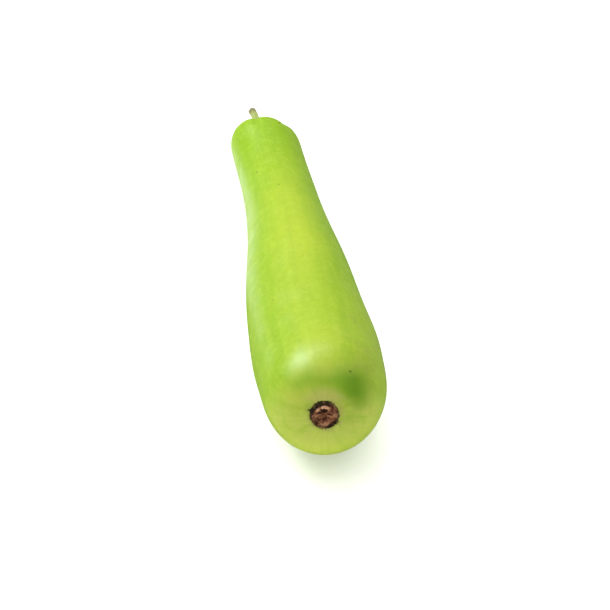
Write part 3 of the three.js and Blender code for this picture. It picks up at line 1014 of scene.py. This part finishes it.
scar_material, tree, shader = new_material("scar_cork", roughness=0.55, specular=0.35)
spot = add(tree, "ShaderNodeTexCoord").outputs["Object"]
crest_and_highlight = read_layer(tree, "crest_and_highlight").outputs["Fac"]
pit = read_layer(tree, "pit").outputs["Fac"]
edge = read_layer(tree, "edge").outputs["Fac"]
cork_patches = patch_mask(tree, spot, scale=420.0, roughening=0.65, low=0.4, high=0.62)
colour = mix_colours(tree, cork_patches, CORK, CORK_RED)
fold = read_layer(tree, "fold").outputs["Fac"]
colour = mix_colours(tree, rising(tree, fold, 0.05, 0.45, top=0.4), colour, CORK_PALE)
# Deep folds, the pit and the edge over the top are laid nearly black as painted shade, over the dark torn
# edge
colour = mix_colours(tree, rising(tree, fold, -0.1, -0.4, top=0.75), colour, CORK_DARK_AND_SHADE)
# Pale crests, brighter on their upper side as a painted highlight
colour = mix_colours(tree, rising(tree, crest_and_highlight, 0.45, 1.1, top=0.9), colour, CORK_PALE)
colour = mix_colours(tree, rising(tree, pit, 0.3, 0.75, top=0.9), colour, CORK_DARK_AND_SHADE)
colour = mix_colours(tree, rising(tree, edge, 0.86, 1.0, top=0.8), colour, CORK_DARK_AND_SHADE)
join(tree, colour, shader.inputs["Base Color"])
cork_grain = place_group(tree, grain_group, place=spot, scale=1500.0, pits=0.8).outputs[0]
bump(tree, shader, cork_grain, 0.5, 0.25)
scar.data.materials.append(scar_material)
print(scar.name, "wears", scar_material.name)

# %% Collar material
COLLAR_DARK = (0.035, 0.022, 0.004)
COLLAR_OLIVE = (0.24, 0.15, 0.05)
collar_material, tree, shader = new_material("dry_collar", roughness=0.7, specular=0.3)
spot = add(tree, "ShaderNodeTexCoord").outputs["Object"]
collar_patches = patch_mask(tree, spot, scale=330.0, roughening=0.6, low=0.4, high=0.65)
dark_and_shaded = read_layer(tree, "dark_and_shaded").outputs["Fac"]
less_dark = range_node(tree, dark_and_shaded, -0.6, 0.5, to_low=0.5, to_high=-0.4)
# Dark torn tissue and patches, with painted shade over the top left
tone_and_shade = math_node(tree, "ADD", collar_patches, less_dark)
colour = mix_colours(tree, rising(tree, tone_and_shade, 0.0, 1.0), COLLAR_DARK, COLLAR_OLIVE)
join(tree, colour, shader.inputs["Base Color"])
collar_grain = place_group(tree, grain_group, place=spot, scale=1200.0, pits=0.6).outputs[0]
bump(tree, shader, collar_grain, 0.5, 0.2)
collar.data.materials.clear()
collar.data.materials.append(collar_material)
print("materials:", [m.name for m in bpy.data.materials])

# %% [markdown]
# ## Floor and light
# The gourd lies on a plain pale floor under soft studio light. A soft box behind and to the
# left lights the skin, and a larger one beside it gives only the broad highlight over the
# blossom end. A third one fills the top, and weak even light softens the rest. A glossy skin
# would mirror the whole white floor and look washed out, so reflections see it dimmed, apart
# from a strip that gives the long sheen on the left. The floor also has a light of its own
# without shadow, so only a soft shade stays under the fruit. None of this is part of the gourd.

# %% Floor
FLOOR_SIZE = 12.0
FLOOR_GAP = 0.0002
FLOOR_PALE = (0.9, 0.9, 0.9)
FLOOR_REFLECTED = (0.15, 0.19, 0.1)
FLOOR_GLOW = 0.22

bpy.ops.mesh.primitive_plane_add(size=FLOOR_SIZE, location=(0, 0, -FLOOR_GAP))
floor = bpy.context.object
floor.name = "studio_floor"
floor_material, tree, shader = new_material("studio_floor", roughness=0.9, specular=0.1)
floor_path = add(tree, "ShaderNodeLightPath")
floor_place = add(tree, "ShaderNodeSeparateXYZ")
join(tree, add(tree, "ShaderNodeTexCoord").outputs["Object"], floor_place.inputs["Vector"])
left_of_gourd = rising(tree, floor_place.outputs["X"], 0.02, -0.04)
near_gourd = rising(tree, floor_place.outputs["X"], -0.26, -0.16)
past_belly = rising(tree, floor_place.outputs["Y"], -0.02, 0.08)
before_stem = range_node(tree, floor_place.outputs["Y"], 0.17, 0.27, to_low=1.0, to_high=0.25)
bright_strip = times(tree, left_of_gourd, near_gourd, past_belly, before_stem)
dimmed = range_node(tree, bright_strip, 0.0, 1.0, to_low=1.0, to_high=0.25)
in_reflection = times(tree, floor_path.outputs["Is Glossy Ray"], dimmed)
join(tree, mix_colours(tree, in_reflection, FLOOR_PALE, FLOOR_REFLECTED), shader.inputs["Base Color"])
shader.inputs["Emission Color"].default_value = (1.0, 1.0, 1.0, 1.0)
seen_glow = times(tree, floor_path.outputs["Is Camera Ray"], FLOOR_GLOW)
join(tree, seen_glow, shader.inputs["Emission Strength"])
floor.data.materials.append(floor_material)
print("the floor lies", FLOOR_GAP / MM, "mm under the fruit")

# %% Lights


def soft_box(name, place, aim, size, power):
    """A rectangular lamp, as wide and deep as its size in metres."""
    data = bpy.data.lights.new(name, "AREA")
    data.shape = "RECTANGLE"
    data.size = size[0]
    data.size_y = size[1]
    data.energy = power
    lamp = bpy.data.objects.new(name, data)
    bpy.context.scene.collection.objects.link(lamp)
    heading = Vector(aim) - Vector(place)
    lamp.matrix_world = Matrix.Translation(place) @ heading.to_track_quat("-Z", "Y").to_matrix().to_4x4()
    return lamp


def wide_light(name, heading, strength, width_degrees):
    """An even light from far away, as from a bright ceiling of a given width."""
    data = bpy.data.lights.new(name, "SUN")
    data.energy = strength
    data.angle = math.radians(width_degrees)
    lamp = bpy.data.objects.new(name, data)
    bpy.context.scene.collection.objects.link(lamp)
    lamp.rotation_euler = Vector(heading).to_track_quat("-Z", "Y").to_euler()
    return lamp


BLOSSOM_END = (-0.02, -0.1, 0.05)
soft_box("key_box", place=(-0.78, 0.5, 1.15), aim=BLOSSOM_END, size=(0.66, 0.66), power=9.5)
soft_box("top_box", place=(0.0, 0.62, 1.15), aim=(0.0, -0.12, 0.05), size=(0.7, 0.5), power=3.0)
highlight = soft_box("highlight_box", place=(-0.74, 0.5, 1.15), aim=BLOSSOM_END,
                     size=(1.1, 0.95), power=12.0)
highlight.visible_diffuse = False
ceiling = wide_light("ceiling", heading=(0.0, -0.3, -1.0), strength=0.38, width_degrees=90.0)
ceiling.visible_glossy = False
floor_wash = wide_light("floor_wash", heading=(0.0, 0.0, -1.0), strength=1.9, width_degrees=120.0)
floor_wash.data.use_shadow = False
floor_only = bpy.data.collections.new("floor_only")
floor_only.objects.link(floor)
floor_wash.light_linking.receiver_collection = floor_only
print("lamps:", [lamp.name for lamp in bpy.data.lights])

# %% A room that is brighter behind and to the left
TOWARD_LIGHT = (-0.1, 0.75, 0.45)
world = bpy.data.worlds.new("studio")
world.use_nodes = True
tree = world.node_tree
room = tree.nodes["Background"]
room.inputs["Color"].default_value = (1.0, 1.0, 1.0, 1.0)
toward_light = add(tree, "ShaderNodeVectorMath", operation="DOT_PRODUCT")
join(tree, add(tree, "ShaderNodeTexCoord").outputs["Generated"], toward_light.inputs[0])
toward_light.inputs[1].default_value = TOWARD_LIGHT
room_strength = range_node(tree, toward_light.outputs["Value"], -0.3, 0.35, to_low=0.24, to_high=0.7)
world_path = add(tree, "ShaderNodeLightPath")
calmer = range_node(tree, world_path.outputs["Is Glossy Ray"], 0.0, 1.0, to_low=1.0, to_high=0.2)
join(tree, times(tree, room_strength, calmer), room.inputs["Strength"])
backdrop = add(tree, "ShaderNodeBackground")
backdrop.inputs["Color"].default_value = (1.0, 1.0, 1.0, 1.0)
seen = add(tree, "ShaderNodeMixShader")
join(tree, world_path.outputs["Is Camera Ray"], seen.inputs["Fac"])
join(tree, room.outputs["Background"], seen.inputs[1])
join(tree, backdrop.outputs["Background"], seen.inputs[2])
join(tree, seen.outputs["Shader"], tree.nodes["World Output"].inputs["Surface"])
bpy.context.scene.world = world
print("the room is made of", len(tree.nodes), "nodes")

# %% [markdown]
# ## Camera
# The photograph looks down over the blossom end, so the fruit is strongly foreshortened. The
# two angles, the place that the camera looks at and the length of the lens were found together
# with the shape, so that the outline of the fruit falls where it does in the photograph. The
# camera's matrix is written out instead of aimed with a constraint, which keeps it exact.

# %% Camera at the photograph's viewing angle
CAMERA_HEIGHT_ANGLE = math.radians(36.86)
CAMERA_SIDE_ANGLE = math.radians(-8.046)
CAMERA_DISTANCE = 1300.0
LOOK_AT = np.array([0.465, -44.025, 35.1])
PIXEL_FOCAL_LENGTH = 1809.92
PHOTO_WIDTH = 610
SENSOR_WIDTH = 36.0

view_way = np.array([
    -math.sin(CAMERA_SIDE_ANGLE) * math.cos(CAMERA_HEIGHT_ANGLE),
    math.cos(CAMERA_SIDE_ANGLE) * math.cos(CAMERA_HEIGHT_ANGLE),
    -math.sin(CAMERA_HEIGHT_ANGLE),
])
view_right = np.array([math.cos(CAMERA_SIDE_ANGLE), math.sin(CAMERA_SIDE_ANGLE), 0.0])
view_up = np.cross(view_right, view_way)
camera_place = (LOOK_AT + shift - CAMERA_DISTANCE * view_way) * MM
camera_data = bpy.data.cameras.new("camera")
camera_data.sensor_width = SENSOR_WIDTH
camera_data.lens = PIXEL_FOCAL_LENGTH * SENSOR_WIDTH / PHOTO_WIDTH
camera = bpy.data.objects.new("camera", camera_data)
bpy.context.scene.collection.objects.link(camera)
turn_matrix = Matrix([view_right.tolist(), view_up.tolist(), (-view_way).tolist()]).transposed()
camera.matrix_world = Matrix.Translation(camera_place.tolist()) @ turn_matrix.to_4x4()
bpy.context.scene.camera = camera
bpy.context.scene.view_settings.view_transform = "Standard"
print("camera at", camera_place.round(3), "with a lens of", round(camera_data.lens, 1), "mm")
